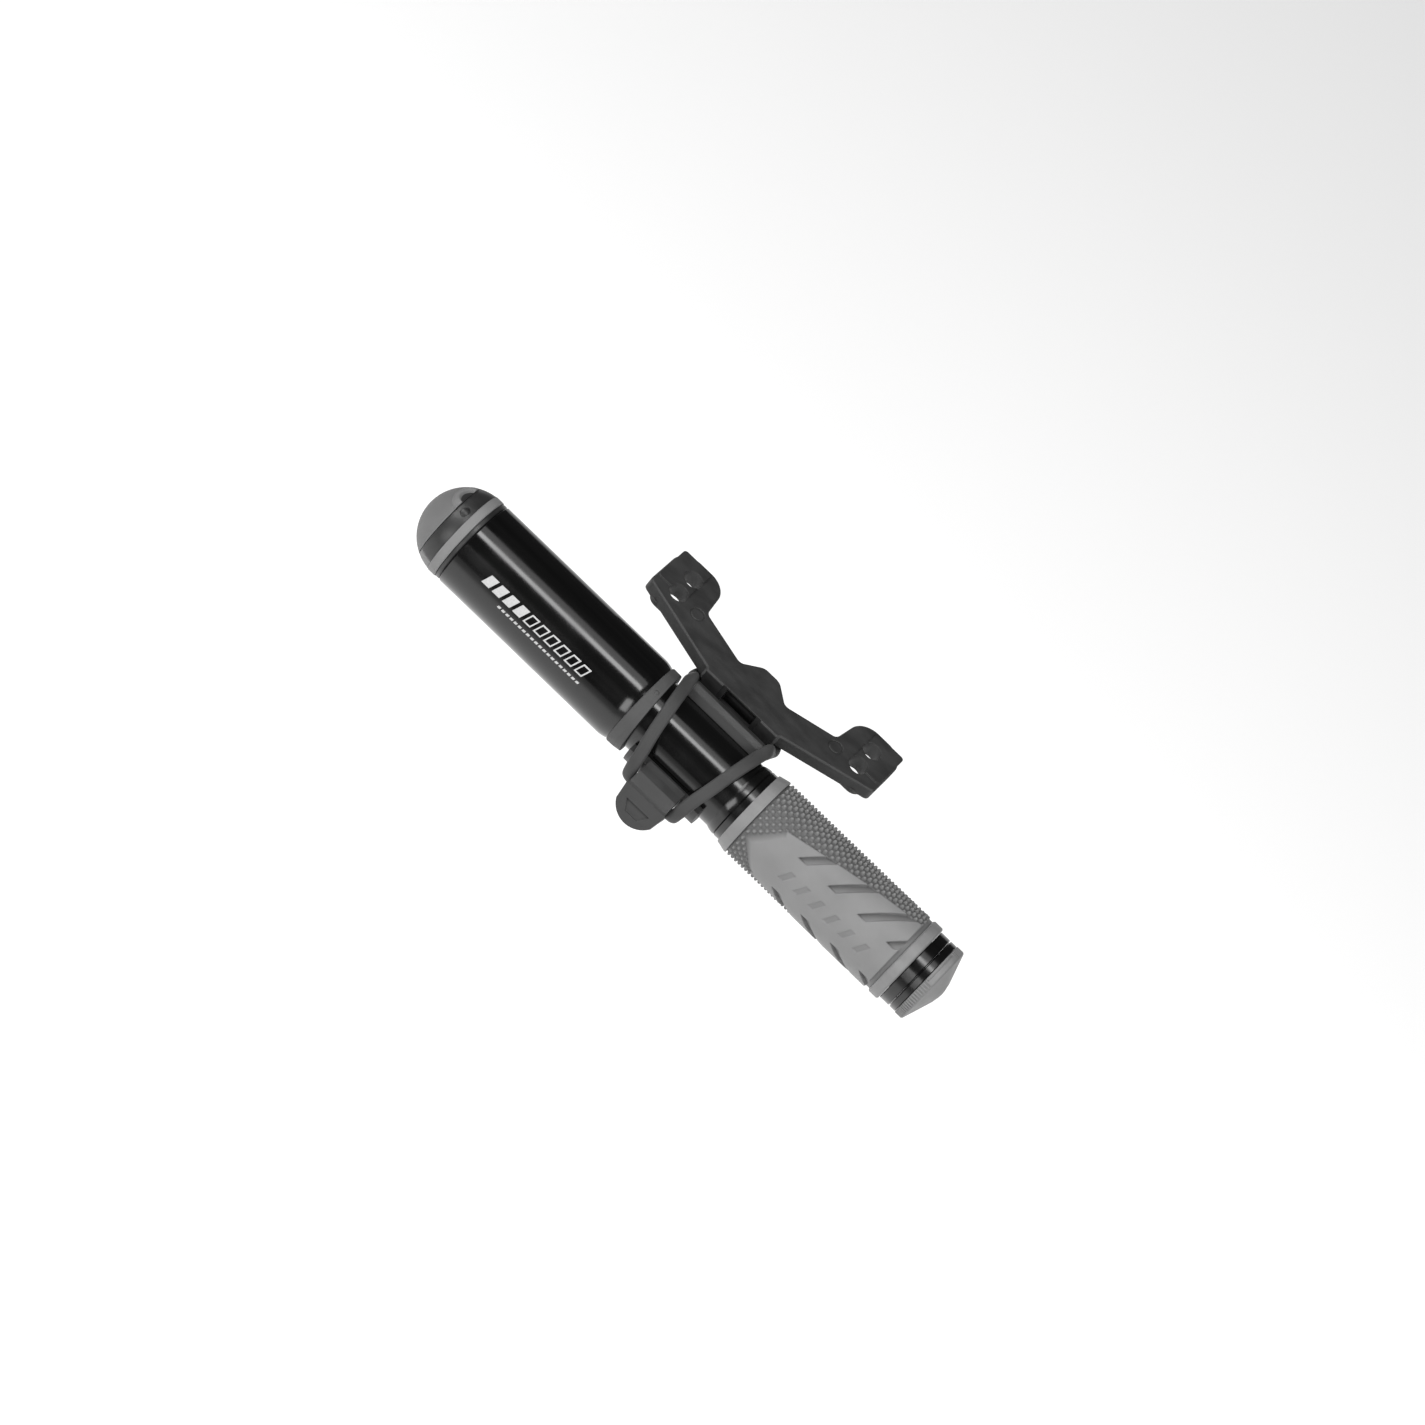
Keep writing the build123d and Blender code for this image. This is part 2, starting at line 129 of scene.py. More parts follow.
def node(material, kind, **values):
    """A node of this kind, with its inputs set by name."""
    made = material.node_tree.nodes.new("ShaderNode" + kind)
    for key, value in values.items():
        made.inputs[key.replace("_", " ")].default_value = value
    return made


def link(material, source, output, target, socket):
    material.node_tree.links.new(source.outputs[output], target.inputs[socket])


def place(material, stretch=(1, 1, 1)):
    """Object coordinates in metres, stretched."""
    coordinates = node(material, "TexCoord")
    mapping = node(material, "Mapping", Scale=stretch)
    link(material, coordinates, "Object", mapping, "Vector")
    return mapping


def noise(material, scale, detail=3.0, stretch=(1, 1, 1), roughness=0.55):
    made = node(material, "TexNoise", Scale=scale, Detail=detail, Roughness=roughness)
    link(material, place(material, stretch), "Vector", made, "Vector")
    return made


def spread(material, source, output, low, high, from_low=0.3, from_high=0.7):
    """Maps a value onto low to high."""
    made = node(material, "MapRange")
    made.inputs["From Min"].default_value = from_low
    made.inputs["From Max"].default_value = from_high
    made.inputs["To Min"].default_value = low
    made.inputs["To Max"].default_value = high
    link(material, source, output, made, "Value")
    return made


def vary_colour(material, source, output, dark, light, from_low=0.3, from_high=0.7):
    """Base colour runs between two greys with a value."""
    ramp = node(material, "ValToRGB")
    stops = ramp.color_ramp.elements
    stops[0].position, stops[1].position = from_low, from_high
    stops[0].color, stops[1].color = (*dark, 1), (*light, 1)
    link(material, source, output, ramp, "Fac")
    link(material, ramp, "Color", shader_of(material), "Base Color")


def bump(material, sources, edge=0.0):
    """Bump from height maps, each (node, output, strength, metres), over rounded edges."""
    last = None
    if edge:
        last = node(material, "Bevel", Radius=edge)
        last.samples = BEVEL_SAMPLES
    for source, output, strength, distance in sources:
        made = node(material, "Bump", Strength=strength, Distance=distance)
        link(material, source, output, made, "Height")
        if last:
            link(material, last, "Normal", made, "Normal")
        last = made
    link(material, last, "Normal", shader_of(material), "Normal")


def rubber(name, dark, light, roughness=0.62, grain=5200.0):
    """Moulded rubber: faint clouds of colour and gloss, a fine skin grain and a little sheen."""
    material = new_material(name, light, roughness, specular=0.35)
    clouds = noise(material, 90.0, 5.0)
    vary_colour(material, clouds, "Fac", dark, light)
    skin = noise(material, grain, 2.0)
    rough = spread(material, clouds, "Fac", roughness - 0.08, roughness + 0.1)
    link(material, rough, "Result", shader_of(material), "Roughness")
    bump(material, [(skin, "Fac", 0.35, 0.00004), (clouds, "Fac", 0.15, 0.0001)], edge=0.0002)
    shader_of(material).inputs["Sheen Weight"].default_value = 0.05
    return material


def paint_shade_by_relief(material, low, high):
    """Painted shade and light: scales the base colour from low to high by the piece's relief
    attribute, 0 to 1, so hollows are painted darker.
    """
    relief = node(material, "Attribute")
    relief.attribute_name = "relief"
    shade = spread(material, relief, "Fac", low, high, 0, 1)
    mix = node(material, "MixRGB", Fac=1)
    mix.blend_type = "MULTIPLY"
    base = shader_of(material).inputs["Base Color"]
    material.node_tree.links.new(base.links[0].from_socket, mix.inputs["Color1"])
    link(material, shade, "Result", mix, "Color2")
    link(material, mix, "Color", shader_of(material), "Base Color")


def moulded_plastic(name, dark, light, roughness=0.42, grain=4200.0):
    """Moulded plastic: a fine spark texture, and flow marks in its colour and gloss."""
    material = new_material(name, light, roughness, specular=0.45)
    flow = noise(material, 140.0, 6.0, (1, 2.2, 2.2))
    vary_colour(material, flow, "Fac", dark, light, 0.35, 0.68)
    spark = noise(material, grain, 3.0)
    rough = spread(material, flow, "Fac", roughness - 0.07, roughness + 0.12)
    link(material, rough, "Result", shader_of(material), "Roughness")
    bump(material, [(spark, "Fac", 0.4, 0.00005), (flow, "Fac", 0.2, 0.00012)], edge=0.00035)
    return material


def gloss_black(name, roughness):
    """Gloss black tube: faint draw lines along it, and a few wiped smudges."""
    material = new_material(name, grey(0.004), roughness, specular=0.55)
    lines = noise(material, 900.0, 4.0, (0.02, 1, 1))
    smudge = noise(material, 60.0, 4.0)
    vary_colour(material, lines, "Fac", grey(0.0015), grey(0.003), 0.3, 0.6)
    rough = spread(material, smudge, "Fac", roughness - 0.02, roughness + 0.06)
    link(material, rough, "Result", shader_of(material), "Roughness")
    bump(material, [(lines, "Fac", 0.04, 0.00001)])
    return material


def turned_metal(name, colour, roughness=0.28):
    """Lathe-turned metal: fine rings along the pump's axis."""
    material = new_material(name, colour, roughness, metallic=1.0)
    rings = noise(material, 2600.0, 2.0, (1, 0.03, 0.03))
    rough = spread(material, rings, "Fac", roughness - 0.08, roughness + 0.1)
    link(material, rough, "Result", shader_of(material), "Roughness")
    bump(material, [(rings, "Fac", 0.12, 0.00003)])
    return material


def print_ink(name, colour):
    """Screen-printed ink with slight unevenness."""
    material = new_material(name, colour, 0.5)
    patches = noise(material, 2500.0, 3.0)
    vary_colour(material, patches, "Fac", tuple(c * 0.82 for c in colour), colour)
    return material


looks = {
    "bracket": moulded_plastic("bracket_nylon", grey(0.022), grey(0.031), 0.5),
    "clip": moulded_plastic("clip_nylon", grey(0.02), grey(0.027), 0.5),
    "strap": rubber("strap_rubber", grey(0.03), grey(0.043), 0.58, 6000.0),
    "barrel": gloss_black("barrel_gloss", 0.13),
    "neck": gloss_black("neck_gloss", 0.15),
    "collar_plastic": moulded_plastic("collar_plastic", grey(0.046), grey(0.058), 0.62),
    "housing_plastic": moulded_plastic("housing_plastic", grey(0.014), grey(0.019), 0.36),
    "grey_rubber": rubber("grey_rubber", grey(0.15), grey(0.185)),
    "grip_rubber": rubber("grip_rubber", grey(0.165), grey(0.195), 0.5),
    "cap_plastic": moulded_plastic("cap_plastic", grey(0.165), grey(0.195), 0.46),
    "chuck_alloy": turned_metal("chuck_alloy", (0.72, 0.72, 0.73)),
    "seal": rubber("seal_rubber", grey(0.012), grey(0.02), 0.45),
    "rod_steel": turned_metal("rod_steel", (0.6, 0.6, 0.61), 0.22),
    "inner_plastic": moulded_plastic("inner_plastic", grey(0.07), grey(0.1)),
}
dome_rubber = rubber("dome_rubber", grey(0.118), grey(0.142))
# Painted shade darkens the dome's notch recess, and a painted highlight lightens its raised lip
paint_shade_by_relief(dome_rubber, 0.2, 1.25)
# Painted shade and dirt darken the grip's hollows
paint_shade_by_relief(looks["grip_rubber"], 0.5, 1.03)
ink = print_ink("white_ink", grey(0.48))

for part in frame["record"]["subparts"]:
    shown = frame["nodes"][part["node"]]
    shown.data.materials.clear()
    shown.data.materials.append(looks[part["material_slot"]])


def set_relief(obj, values):
    """Stores how high each point of a piece stands, from 0 in hollows to 1 on raised parts, which
    sets its painted shade.
    """
    relief = obj.data.attributes.new("relief", "FLOAT", "POINT")
    relief.data.foreach_set("value", np.clip(values, 0, 1).astype(np.float32))


def finish_piece(obj, slot_name, body, stands_for):
    """Gives a new piece the look of its slot, hides the CAD nodes that it stands for, and attaches
    it to its body if it has one.
    """
    obj.data.materials.append(looks[slot_name])
    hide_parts(*stands_for)
    if body:
        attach(obj, body)


# ---------------------------------------------------------------- rubber grip

# Lengths in millimetres along, round and out from the pump's axis, and angles in degrees
GRIP_CORE = 11.02
GRIP_TOP = 12.2
KNURL_ROUND = 32
KNURL_PITCH = 2.35
KNURL_HEIGHT = 0.74
KNURL_FLOOR = 0.78
KNURL_START = 24.2
KNURL_FLAT = 1.1
KNURL_CROWN = 0.8
PANEL_ANGLE = 15.0
PANEL_OUTLINE = ((24.5, 0.0), (31.2, 42.0), (53.7, 64.0), (72.4, 79.0))
TIP_BEVEL = 2.0
TIP_DROP = 0.74
PANEL_STEP = 0.5
PANEL_WALL = 0.4
SLOT_STARTS = (37.8, 48.0, 58.3, 68.4)
SLOT_SIDE = 27.0
SLOT_WIDTH = 3.1
SLOT_DEPTH = 0.95
SLOT_LEAN = 0.92
SLOT_WALL = 0.3
SLOT_TAPER = 0.7
BAR_STARTS = (38.2, 43.4, 48.6, 53.8, 59.0, 64.2)
BAR_WIDTH = 1.9
BAR_REACH = 1.9
BAR_WALL = 0.2
BAR_LEAN = 0.5
BAR_DEPTH = 0.22
BACK_NARROWING = 1.4
LEFT_GROOVE = (0.35, 0.75)
LEFT_GROOVE_DEPTH = 0.75
RIGHT_GROOVE = (1.35, 1.1)
RIGHT_GROOVE_DEPTH = 0.6
END_ROUND = 0.3
END_DROP = 0.1
GRIP_ROWS = 300
COLUMNS_PER_STUD = 14
FAR_AWAY = 1e9


def segment_distance(x, s, start, end):
    """Distance from points to a segment, on the unrolled surface."""
    dx, ds = end[0] - start[0], end[1] - start[1]
    along = ((x - start[0]) * dx + (s - start[1]) * ds) / (dx * dx + ds * ds)
    t = np.clip(along, 0, 1)
    return np.hypot(x - start[0] - t * dx, s - start[1] - t * ds)


def panel_depth(x, side):
    """Signed distance into the smooth panel, and whether the tip edge is the nearest one."""
    corners = [(px, math.radians(angle) * GRIP_TOP) for px, angle in PANEL_OUTLINE]
    best = np.full(x.shape, FAR_AWAY)
    tip = np.zeros(x.shape, bool)
    for index, (start, end) in enumerate(zip(corners, corners[1:])):
        away = segment_distance(x, side, start, end)
        tip = np.where(away < best, index == 0, tip)
        best = np.minimum(best, away)
    width = np.interp(x, [c[0] for c in corners], [c[1] for c in corners], left=-1)
    return np.where(side < width, best, -best), tip


def box_window(value, low, high, wall):
    """1 inside low to high, 0 outside, with sloped walls."""
    return smoothstep(value, low, low + wall) * (1 - smoothstep(value, high - wall, high))


def grip_height(x, angle):
    """Height of the grip's surface from its top level, by place along and angle round."""
    wrapped = (angle - PANEL_ANGLE + 90) % 180 - 90
    side = np.radians(np.abs(wrapped)) * GRIP_TOP
    back = np.abs((angle - PANEL_ANGLE + 180) % 360 - 180) > 90
    side = np.where(back, side * BACK_NARROWING, side)
    depth, tip = panel_depth(x, side)
    weave = np.cos(2 * np.pi * (x - KNURL_START) / KNURL_PITCH)
    weave = weave * np.cos(np.radians(KNURL_ROUND * angle))
    knurl = -KNURL_FLOOR + KNURL_HEIGHT * np.clip(weave * KNURL_FLAT, 0, 1) ** KNURL_CROWN
    panel = PANEL_STEP * (smoothstep(depth, 0, PANEL_WALL) - 1)
    panel = np.where(tip & (depth > 0), TIP_DROP * (np.clip(depth / TIP_BEVEL, 0, 1) - 1), panel)
    slot_start = math.radians(SLOT_SIDE) * GRIP_TOP
    for start in SLOT_STARTS:
        lean = x - (side - slot_start) * SLOT_LEAN
        across = np.clip((lean - start) / SLOT_WIDTH, 0, 1)
        cut = box_window(lean, start, start + SLOT_WIDTH, SLOT_WALL)
        cut = cut * smoothstep(side, slot_start, slot_start + SLOT_WALL)
        panel = panel - SLOT_DEPTH * (1 - SLOT_TAPER * across) * cut * (depth > 0)
    for start in BAR_STARTS:
        lean = x - np.radians(wrapped) * GRIP_TOP * BAR_LEAN
        bar = box_window(lean, start, start + BAR_WIDTH, BAR_WALL)
        panel = panel - BAR_DEPTH * bar * (1 - smoothstep(side, BAR_REACH - BAR_WALL, BAR_REACH))
    return np.where(depth > 0, panel, knurl)


def build_grip():
    low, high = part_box("rubber_grip")
    left, right = low[0] / MM, high[0] / MM
    columns = KNURL_ROUND * COLUMNS_PER_STUD
    xs = np.linspace(left, right, GRIP_ROWS)
    angles = np.arange(columns) * 360 / columns
    x, angle = np.meshgrid(xs, angles, indexing="ij")
    radius = GRIP_TOP + grip_height(x, angle)
    groove = 1 - smoothstep(x, left + LEFT_GROOVE[0], left + LEFT_GROOVE[1])
    radius = radius * (1 - groove) + (GRIP_TOP - LEFT_GROOVE_DEPTH) * groove
    groove = smoothstep(x, right - RIGHT_GROOVE[0], right - RIGHT_GROOVE[1])
    radius = radius * (1 - groove) + (GRIP_TOP - RIGHT_GROOVE_DEPTH) * groove
    radius = radius - END_DROP * (1 - smoothstep(x, left, left + END_ROUND))
    outer = on_axis(x, angle, radius)
    inner_right = on_axis(np.full(columns, right), angles, np.full(columns, GRIP_CORE))
    inner_left = on_axis(np.full(columns, left), angles, np.full(columns, GRIP_CORE))
    points = np.concatenate([outer, inner_right, inner_left])
    faces = grid_faces(GRIP_ROWS + 2, columns, wrap_rows=True, wrap_columns=True)
    obj = make_mesh("grip_sleeve", points, faces)
    # Relief for the painted shade and dirt in the grip's hollows
    relief = 1 + (radius.ravel() - GRIP_TOP) / KNURL_FLOOR
    set_relief(obj, np.concatenate([relief, np.zeros(2 * columns)]))
    finish_piece(obj, "grip_rubber", "cylinder", ["rubber_grip"])


build_grip()


# ---------------------------------------------------------------- elastic strap

STRAP_WIDTH = 3.5
STRAP_THICKNESS = 1.9
STRAP_SQUARENESS = 0.62
STRAP_SIDES = 24
STRAP_STEPS = 14
STRAP_RUN = (-16.5, -1.7)


def face_point(x, angle, radius):
    """A point by its angle up from the camera's side of the pump."""
    return on_axis(np.array([x]), np.array([FACE_ANGLE + angle]), np.array([radius]))[0]


def strap_route():
    """Half of the loop as (point, outward direction of the strap's face)."""
    back = np.array([0.0, 1.0, -0.25])
    under = np.array([0.0, 0.25, -1.0])

    def out(angle):
        a = math.radians(FACE_ANGLE + angle)
        return np.array([0.0, -math.cos(a), math.sin(a)])

    return [
        (np.array([0.0, *STRAP_RUN]), back),
        (np.array([9.0, *STRAP_RUN]), back),
        (np.array([13.3, -17.4, -1.8]), back * 0.6 + under),
        (np.array([14.0, -21.4, -1.7]), under * 0.7 - out(100) * 0.2 + np.array([1.2, 0, 0])),
        (face_point(13.7, 86, 14.3), out(80) * 0.6 + np.array([0.9, 0, 0])),
        (face_point(13.0, 66, 12.8), out(62) + np.array([0.15, 0, 0])),
        (face_point(12.2, 40, 12.1), out(40)),
        (face_point(11.2, 12, 12.0), out(12)),
        (face_point(10.2, -14, 12.3), out(-14)),
        (face_point(9.0, -38, 13.7), out(-36)),
        (face_point(8.3, -55, 15.6), out(-48)),
        (face_point(7.2, -69, 16.5), out(-80)),
        (face_point(3.5, -71.5, 16.0), out(-90)),
        (face_point(0.0, -71.5, 16.0), out(-90)),
    ]


def closed_curve(values, steps):
    """A smooth closed curve through the values, as Catmull-Rom spans."""
    values = np.asarray(values, float)
    count = len(values)
    made = []
    for i in range(count):
        before, start, end, after = (values[(i + k) % count] for k in (-1, 0, 1, 2))
        for t in np.arange(steps) / steps:
            square = 2 * before - 5 * start + 4 * end - after
            cube = 3 * start - before - 3 * end + after
            made.append(0.5 * (2 * start + (end - before) * t + square * t**2 + cube * t**3))
    return np.array(made)


def build_strap():
    half = strap_route()
    flip = np.array([-1.0, 1.0, 1.0])
    loop = half + [(p * flip, n * flip) for p, n in reversed(half[1:-1])]
    centre = closed_curve([p for p, _ in loop], STRAP_STEPS)
    outward = closed_curve([n for _, n in loop], STRAP_STEPS)
    along = np.roll(centre, -1, 0) - np.roll(centre, 1, 0)
    along /= np.linalg.norm(along, axis=1, keepdims=True)
    outward -= along * np.sum(outward * along, axis=1, keepdims=True)
    outward /= np.linalg.norm(outward, axis=1, keepdims=True)
    across = np.cross(along, outward)
    turn = np.linspace(0, 2 * np.pi, STRAP_SIDES, endpoint=False)
    wide = np.sign(np.cos(turn)) * np.abs(np.cos(turn)) ** STRAP_SQUARENESS * STRAP_WIDTH / 2
    thick = np.sign(np.sin(turn)) * np.abs(np.sin(turn)) ** STRAP_SQUARENESS * STRAP_THICKNESS / 2
    points = centre[:, None] + across[:, None] * wide[None, :, None]
    points = points + outward[:, None] * thick[None, :, None]
    faces = grid_faces(len(centre), len(turn), wrap_rows=True, wrap_columns=True)
    obj = make_mesh("strap_loop", points.reshape(-1, 3), faces)
    finish_piece(obj, "strap", None, ["elastic_strap"])
    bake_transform(obj)


build_strap()


# ---------------------------------------------------------------- dust cap tether

BALL_CENTRE = -80.3
BALL_RADIUS = 12.7
TETHER_ANGLE = -61.0
TETHER_HALF = 44.0
TETHER_THICKNESS = 1.0


def build_tether():
    """A patch of the ball's surface that joins the ring to the dome, with walls all round."""
    rows, columns = 22, 40
    low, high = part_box("dust_cap_tether")
    xs = np.linspace(low[0] / MM, high[0] / MM, rows)
    angles = TETHER_ANGLE + np.linspace(-TETHER_HALF, TETHER_HALF, columns)
    x, angle = np.meshgrid(xs, angles, indexing="ij")
    outer = np.sqrt(BALL_RADIUS**2 - (x - BALL_CENTRE) ** 2)
    top = on_axis(x, angle, outer)
    bottom = on_axis(x, angle, outer - TETHER_THICKNESS)
    count = rows * columns
    faces = grid_faces(rows, columns)
    faces += [tuple(count + i for i in reversed(f)) for f in faces]
    rim = [(0, j) for j in range(columns)] + [(i, columns - 1) for i in range(1, rows)]
    rim += [(rows - 1, j) for j in range(columns - 2, -1, -1)]
    rim += [(i, 0) for i in range(rows - 2, 0, -1)]
    rim = [i * columns + j for i, j in rim]
    for a, b in zip(rim, rim[1:] + rim[:1]):
        faces.append((b, a, count + a, count + b))
    obj = make_mesh("cap_tether", np.concatenate([top, bottom]), faces)
    finish_piece(obj, "grey_rubber", None, ["dust_cap_tether"])
    ends = np.array([xs[-1], xs[0]])
    middle = on_axis(ends, np.full(2, TETHER_ANGLE), np.full(2, BALL_RADIUS)) * MM
    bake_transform(obj)


build_tether()


# ---------------------------------------------------------------- dust cap

CAP_WALL = 1.5
SKIRT_OUTER = 8.55
SKIRT_INNER = 7.35
NOTCH_ANGLE = 87.5
NOTCH_HALF = 2.8
NOTCH_DEEP = 2.0
LIP_HALF = 5.6
LIP_DEEP = 4.0
LIP_RISE = 0.7
RECESS = 0.35
POLE_HOLE = 0.02
DOME_RELIEF = 0.75


def notch_height(reach, angle, radius):
    """Height over the ball round the finger notch: a raised lip about a half-oval recess."""
    aside = np.radians((angle - NOTCH_ANGLE + 180) % 360 - 180) * radius
    lip = np.hypot(aside / LIP_HALF, reach / LIP_DEEP)
    hole = np.hypot(aside / NOTCH_HALF, reach / NOTCH_DEEP)
    crown = 0.7 + 0.3 * (1 - smoothstep(lip, 0.6, 0.88))
    raised = LIP_RISE * (1 - smoothstep(lip, 0.88, 1.0)) * crown
    inside = 1 - smoothstep(hole, 0.95, 1.1)
    return raised * (1 - inside) - RECESS * inside


def arc_rows(radius, high, low, count):
    """Points (x, radius) on the ball's section, from one radius to another."""
    turn = np.linspace(math.asin(high / radius), math.asin(low / radius), count)
    return [(BALL_CENTRE - radius * math.cos(t), radius * math.sin(t)) for t in turn]


def build_dust_cap():
    """The dome: a shell with an inner skirt, raised and sunk round the finger notch."""
    columns = 360
    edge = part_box("dust_cap_tether")[0][0] / MM - 0.2
    rim = math.sqrt(BALL_RADIUS**2 - (edge - BALL_CENTRE) ** 2)
    inner = BALL_RADIUS - CAP_WALL
    shell_bore = math.sqrt(inner**2 - (edge - BALL_CENTRE) ** 2)
    skirt_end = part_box("dust_cap_dome")[1][0] / MM
    outer_rows = arc_rows(BALL_RADIUS, POLE_HOLE, rim, 90)
    rest = [(edge, rim - 0.25), (edge, shell_bore), *arc_rows(inner, shell_bore, SKIRT_OUTER, 4)]
    rest += [(skirt_end, SKIRT_OUTER), (skirt_end, SKIRT_INNER)]
    rest += arc_rows(inner, SKIRT_INNER, POLE_HOLE, 14)
    angles = np.arange(columns) * 360 / columns
    places = np.array(outer_rows + rest)
    x, angle = np.meshgrid(places[:, 0], angles, indexing="ij")
    radius = np.repeat(places[:, 1:2], columns, axis=1)
    turn = np.arctan2(radius, BALL_CENTRE - x)
    reach = (math.asin(rim / BALL_RADIUS) - turn) * BALL_RADIUS
    height = notch_height(reach, angle, rim)
    last = len(outer_rows)
    height[last:] = 0
    height[last] = np.minimum(height[last - 1], 0)
    x = x - height * np.cos(turn)
    x = np.minimum(x, np.where(np.arange(len(places))[:, None] <= last, edge, x))
    radius = radius + height * np.sin(turn)
    faces = grid_faces(len(places), columns, wrap_columns=True)
    faces.append(tuple(range(columns)))
    faces.append(tuple(reversed(range((len(places) - 1) * columns, len(places) * columns))))
    obj = make_mesh("cap_dome", on_axis(x, angle, radius), faces)
    # Relief for the dome's painted shade in the notch and painted highlight on the lip
    set_relief(obj, DOME_RELIEF + (1 - DOME_RELIEF) * height.ravel() / LIP_RISE)
    finish_piece(obj, "grey_rubber", "dust_cap", ["dust_cap_dome"])
    obj.data.materials[0] = dome_rubber
    build_notch_painted_shade(rim, edge)


def build_notch_painted_shade(rim, edge):
    """A dark sheet at the bottom of the finger notch: painted shade in the recess."""
    rows, columns = 12, 31
    floor_radius = BALL_RADIUS - RECESS + 0.05
    around = np.linspace(-1, 1, columns)
    out = np.linspace(0, 0.96, rows)
    share, outward = np.meshgrid(around, out, indexing="ij")
    reach = outward * NOTCH_DEEP * np.sqrt(1 - share**2)
    turn = math.asin(rim / BALL_RADIUS) - reach / BALL_RADIUS
    x = np.minimum(BALL_CENTRE - floor_radius * np.cos(turn), edge)
    aside = NOTCH_ANGLE + np.degrees(share * NOTCH_HALF * 0.97 / rim)
    points = on_axis(x, aside, floor_radius * np.sin(turn))
    obj = make_mesh("notch_painted_shade", points, grid_faces(columns, rows))
    obj.data.materials.append(looks["seal"])
    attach(obj, "dust_cap")


build_dust_cap()


# ---------------------------------------------------------------- printed graphic on the barrel

PRINT_RADIUS = 12.715
PRINT_LEFT = -68.4
PRINT_RIGHT = -32.3
LINE_ANGLE = FACE_ANGLE - 17.8
LINE_HEIGHT = 3.2
SOLID_BLOCKS = 4
BLOCKS = 10
BLOCK_SHARE = 0.72
OUTLINE_WIDTH = 0.4
OUTLINE_HEIGHT = 0.42
SLANT = 0.35
RULE_ANGLE = FACE_ANGLE - 33.5
TICKS = 20
TICK_INDENT = 7.2
TICK_HEIGHT = 0.7
TICK_WIDTH = 0.95


def slanted_patch(x, low, high, width):
    """One printed bar: a leaning patch that follows the barrel between two angles."""
    steps = 8
    turn = np.linspace(low, high, steps)
    lean = (turn - low) * math.radians(1) * PRINT_RADIUS * SLANT
    left = on_axis(x + lean, turn, PRINT_RADIUS)
    right = on_axis(x + lean + width, turn, PRINT_RADIUS)
    points = np.concatenate([left, right])
    return points, [(i, steps + i, steps + i + 1, i + 1) for i in range(steps - 1)]


def build_print():
    """A row of slanted blocks, some solid and the rest in outline, over a row of ticks."""
    half = math.degrees(LINE_HEIGHT / 2 / PRINT_RADIUS)
    thin = math.degrees(OUTLINE_HEIGHT / PRINT_RADIUS)
    low, high = LINE_ANGLE - half, LINE_ANGLE + half
    pitch = (PRINT_RIGHT - PRINT_LEFT) / BLOCKS
    width = pitch * BLOCK_SHARE
    bars = []
    for block in range(BLOCKS):
        x = PRINT_LEFT + block * pitch
        if block < SOLID_BLOCKS:
            bars.append(slanted_patch(x, low, high, width))
            continue
        lean = math.radians(high - thin - low) * PRINT_RADIUS * SLANT
        bars.append(slanted_patch(x, low, high, OUTLINE_WIDTH))
        bars.append(slanted_patch(x + width - OUTLINE_WIDTH, low, high, OUTLINE_WIDTH))
        bars.append(slanted_patch(x, low, low + thin, width))
        bars.append(slanted_patch(x + lean, high - thin, high, width))
    tick_half = math.degrees(TICK_HEIGHT / 2 / PRINT_RADIUS)
    tick_pitch = (PRINT_RIGHT - PRINT_LEFT - TICK_INDENT) / TICKS
    for tick in range(TICKS):
        x = PRINT_LEFT + TICK_INDENT + tick * tick_pitch
        bars.append(slanted_patch(x, RULE_ANGLE - tick_half, RULE_ANGLE + tick_half, TICK_WIDTH))
    points, faces = [], []
    for bar_points, bar_faces in bars:
        faces += [tuple(len(points) + i for i in face) for face in bar_faces]
        points += list(bar_points)
    obj = make_mesh("barrel_print", points, faces)
    obj.data.materials.append(ink)
    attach(obj, "barrel")


build_print()


# ---------------------------------------------------------------- camera, light and floor

CAMERA_AZIMUTH = 4.5
CAMERA_ROLL = 40.81
CAMERA_DISTANCE = 1.4
FRAME_WIDTH = 0.3628
SENSOR_WIDTH = 36
TARGET_X = -0.002
AIM_RIGHT = 0.00656
AIM_UP = 0.00928
OVERHEAD_SHIFT = -0.08
FLOOR_HEIGHT = -0.3
FLOOR_HALF = 6.0
FLOOR_GLOW = 0.44
WORLD_LIGHT = 0.05


def build_camera():
    """Looks at the pump from the photograph's angle, rolled as the photograph is."""
    a, e = math.radians(CAMERA_AZIMUTH), math.radians(FACE_ANGLE)
    back = Vector((math.sin(a) * math.cos(e), -math.cos(a) * math.cos(e), math.sin(e)))
    level = Vector((math.cos(a), math.sin(a), 0))
    upright = back.cross(level)
    roll = math.radians(CAMERA_ROLL)
    right = level * math.cos(roll) + upright * math.sin(roll)
    up = back.cross(right)
    target = Vector((TARGET_X, AXIS_Y, AXIS_Z)) + right * AIM_RIGHT + up * AIM_UP
    camera_data = bpy.data.cameras.new("camera")
    camera_data.sensor_width = SENSOR_WIDTH
    camera_data.lens = SENSOR_WIDTH * CAMERA_DISTANCE / FRAME_WIDTH
    camera_data.clip_start, camera_data.clip_end = 0.05, 20
    camera = bpy.data.objects.new("camera", camera_data)
    bpy.context.scene.collection.objects.link(camera)
    matrix = camera.matrix_world.copy()
    for row in range(3):
        matrix[row][0], matrix[row][1], matrix[row][2] = right[row], up[row], back[row]
        matrix[row][3] = (target + back * CAMERA_DISTANCE)[row]
    camera.matrix_world = matrix
    bpy.context.scene.camera = camera


def softbox(name, width, height, power):
    data = bpy.data.lights.new(name, "AREA")
    data.shape = "RECTANGLE"
    data.size, data.size_y = width, height
    data.energy = power
    light = bpy.data.objects.new(name, data)
    bpy.context.scene.collection.objects.link(light)
    return light


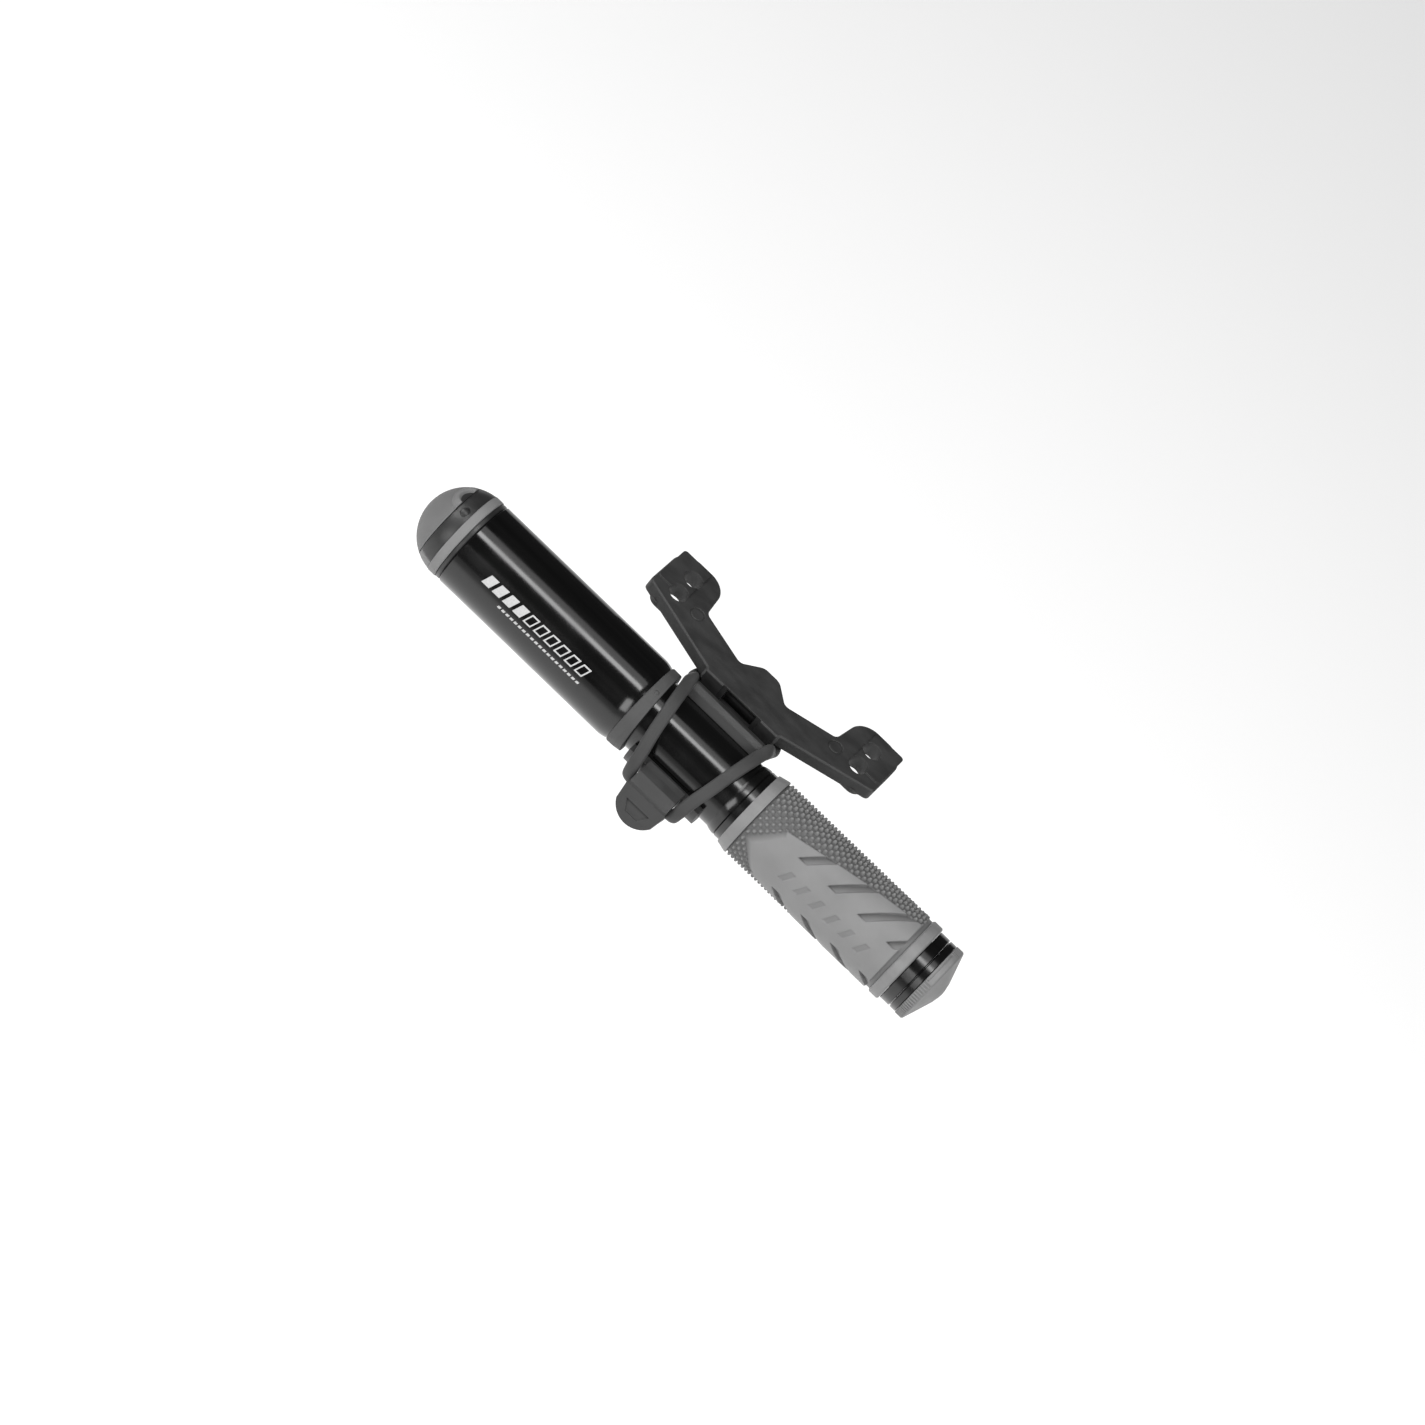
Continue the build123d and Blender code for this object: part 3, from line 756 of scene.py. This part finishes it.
def overhead_light(name, angle, distance, length, width, power):
    """A softbox along the pump, at an angle round it, facing it."""
    a = math.radians(angle)
    toward = Vector((0, math.cos(a), -math.sin(a)))
    light = softbox(name, length, width, power)
    across = Vector((1, 0, 0)).cross(toward)
    matrix = light.matrix_world.copy()
    for row in range(3):
        matrix[row][0], matrix[row][1], matrix[row][2] = (1, 0, 0)[row], -across[row], -toward[row]
        matrix[row][3] = (OVERHEAD_SHIFT, AXIS_Y, AXIS_Z)[row] - toward[row] * distance
    light.matrix_world = matrix


def side_light(name, aside, above, distance, width, height, power):
    """A softbox off to one side: degrees towards +X, and degrees above the camera's side."""
    a, b = math.radians(aside), math.radians(FACE_ANGLE + above)
    away = Vector((math.sin(a), -math.cos(a) * math.cos(b), math.cos(a) * math.sin(b)))
    light = softbox(name, width, height, power)
    light.rotation_mode = "QUATERNION"
    light.rotation_quaternion = away.to_track_quat("Z", "Y")
    light.location = Vector((0, AXIS_Y, AXIS_Z)) + away * distance


def build_stage():
    """A plain pale floor and a dim white world."""
    mesh = bpy.data.meshes.new("floor")
    signs = ((-1, -1), (1, -1), (1, 1), (-1, 1))
    corners = [(x * FLOOR_HALF, y * FLOOR_HALF, FLOOR_HEIGHT) for x, y in signs]
    mesh.from_pydata(corners, [], [(0, 1, 2, 3)])
    floor = bpy.data.objects.new("floor", mesh)
    bpy.context.scene.collection.objects.link(floor)
    paper = new_material("paper_floor", grey(0.86), 0.9)
    vary_colour(paper, noise(paper, 2.0, 2.0), "Fac", grey(0.85), grey(0.87))
    shader_of(paper).inputs["Emission Color"].default_value = (1, 1, 1, 1)
    shader_of(paper).inputs["Emission Strength"].default_value = FLOOR_GLOW
    floor.data.materials.append(paper)
    world = bpy.data.worlds.new("studio")
    world.use_nodes = True
    background = world.node_tree.nodes["Background"]
    background.inputs["Color"].default_value = (1, 1, 1, 1)
    background.inputs["Strength"].default_value = WORLD_LIGHT
    bpy.context.scene.world = world


build_camera()
build_stage()
overhead_light("overhead_strip", angle=71, distance=0.9, length=0.7, width=0.15, power=2.5)
overhead_light("overhead_wide", angle=79, distance=0.92, length=0.8, width=0.45, power=1.8)
for aside in (-48, 48):
    side_light("overhead_side", aside, above=38, distance=1.0, width=0.5, height=0.5, power=4.6)
for name, aside in (("front_right", 17), ("front_left", -27)):
    side_light(name, aside, above=-24, distance=0.9, width=0.36, height=0.52, power=2.9)
bpy.context.scene.view_settings.view_transform = "Standard"
